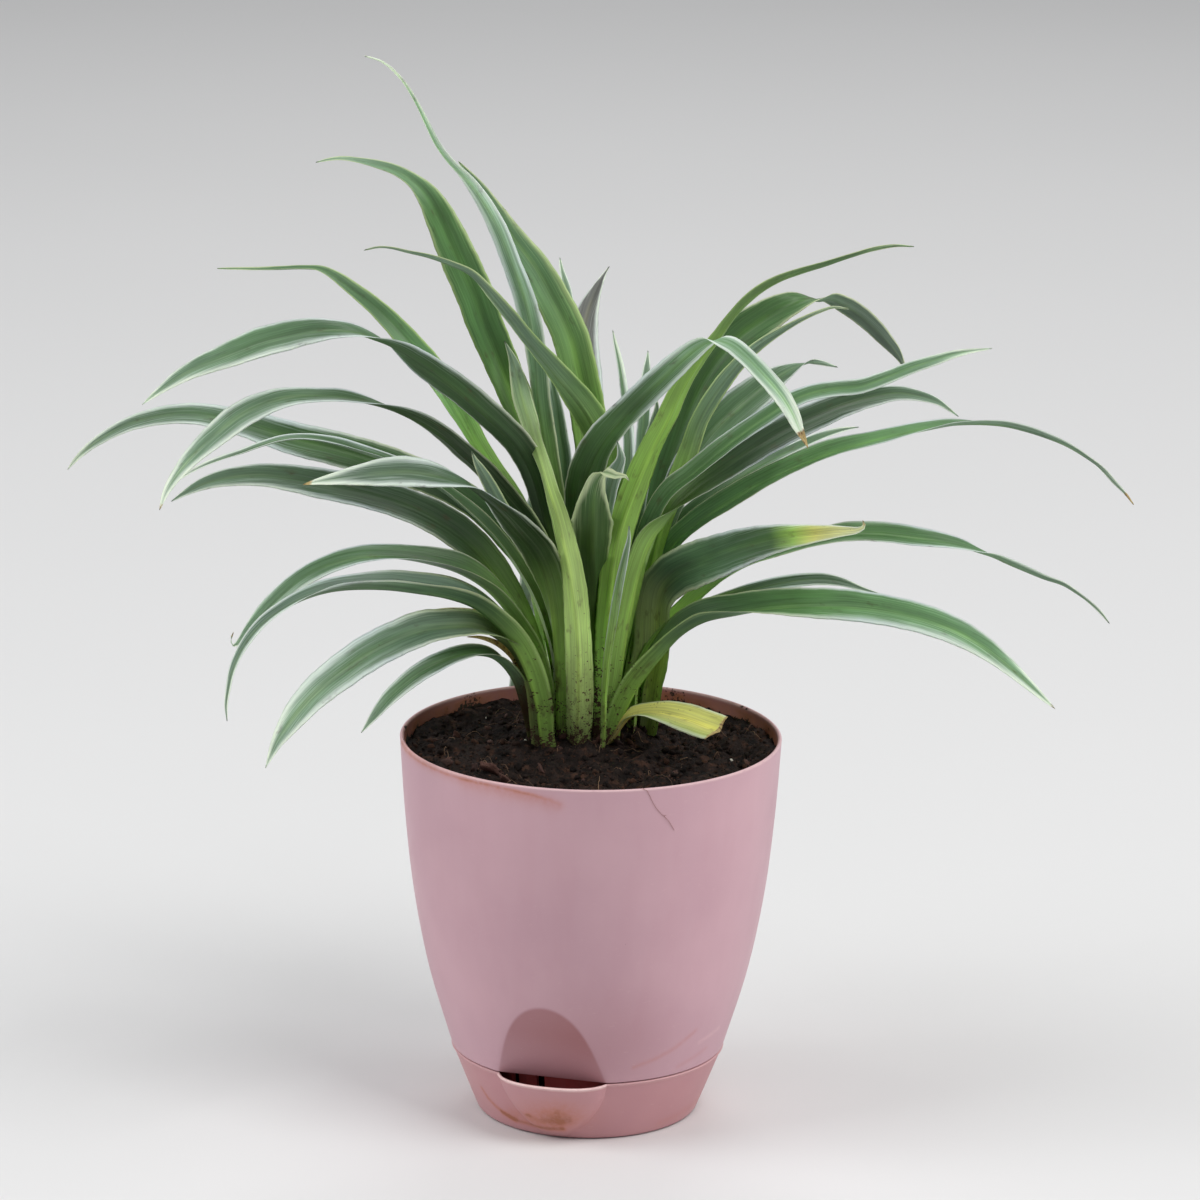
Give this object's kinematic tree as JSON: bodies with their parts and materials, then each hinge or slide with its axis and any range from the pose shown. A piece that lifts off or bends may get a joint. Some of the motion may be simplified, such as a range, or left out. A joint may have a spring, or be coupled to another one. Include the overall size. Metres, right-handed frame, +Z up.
{
  "type": "potted spider plant",
  "caption": "Variegated spider plant with long arching strap leaves in a small round self-watering pot with a water reservoir and a fill spout.",
  "frame": {"origin": "centre of the pot's round underside, where it rests on the table", "axes": "+Z up along the pot's axis, -Y towards the front of the plant, +X to its right; the fill spout is at the front, 16 degrees to the left"},
  "size_m": [0.3422, 0.2052, 0.3437],
  "materials": {
    "pot_plastic": "dusty pink matte plastic",
    "basket_plastic": "the same plastic, wet and shaded",
    "soil": "dark moist potting mix with bark crumbs",
    "crown": "fibrous leaf bases",
    "leaf": "satin green with cream margins",
    "leaf_yellow": "fading yellow leaf, cut at the end",
    "leaf_dry": "dry brown leaf remnant"
  },
  "bodies": {
    "root": {"pot_body": "pot_plastic", "water_reservoir": "pot_plastic", "wicking_basket": "basket_plastic", "soil": "soil", "crown": "crown", "leaf_center_front": "leaf", "leaf_lower_left_2": "leaf", "leaf_lower_right_3": "leaf", "leaf_tall_right": "leaf", "leaf_sheath_right": "leaf", "leaf_center_curled": "leaf", "leaf_front_left": "leaf", "leaf_right_2": "leaf", "leaf_yellow_cut": "leaf_yellow", "leaf_lower_left_3": "leaf", "leaf_lower_left_4": "leaf", "leaf_front_arch": "leaf", "leaf_right_dry_tip": "leaf", "leaf_left_1": "leaf", "leaf_lower_left_1": "leaf", "leaf_left_2": "leaf", "leaf_left_5": "leaf", "leaf_left_short": "leaf", "leaf_center_short_3": "leaf", "leaf_upper_left_crossing": "leaf", "leaf_tall_hair_tip": "leaf", "leaf_right_1": "leaf", "leaf_upper_right_2": "leaf", "leaf_lower_right_2": "leaf", "leaf_lower_right_1": "leaf", "leaf_right_4": "leaf", "leaf_upper_left_1": "leaf", "leaf_left_3": "leaf", "leaf_left_4": "leaf", "leaf_upper_right_3": "leaf", "leaf_tall_rear": "leaf", "leaf_center_short_1": "leaf", "leaf_center_short_2": "leaf", "leaf_right_3": "leaf", "leaf_lower_left_5": "leaf", "leaf_dried_scrap": "leaf_dry", "leaf_upper_left_2": "leaf", "leaf_upper_right_1": "leaf", "leaf_rear_short_2": "leaf", "leaf_rear_short_1": "leaf", "leaf_rear_grey": "leaf", "leaf_rear_short_3": "leaf", "leaf_back_1": "leaf", "leaf_back_2": "leaf", "leaf_back_3": "leaf", "leaf_back_4": "leaf", "leaf_back_5": "leaf"}
  },
  "joints": []
}
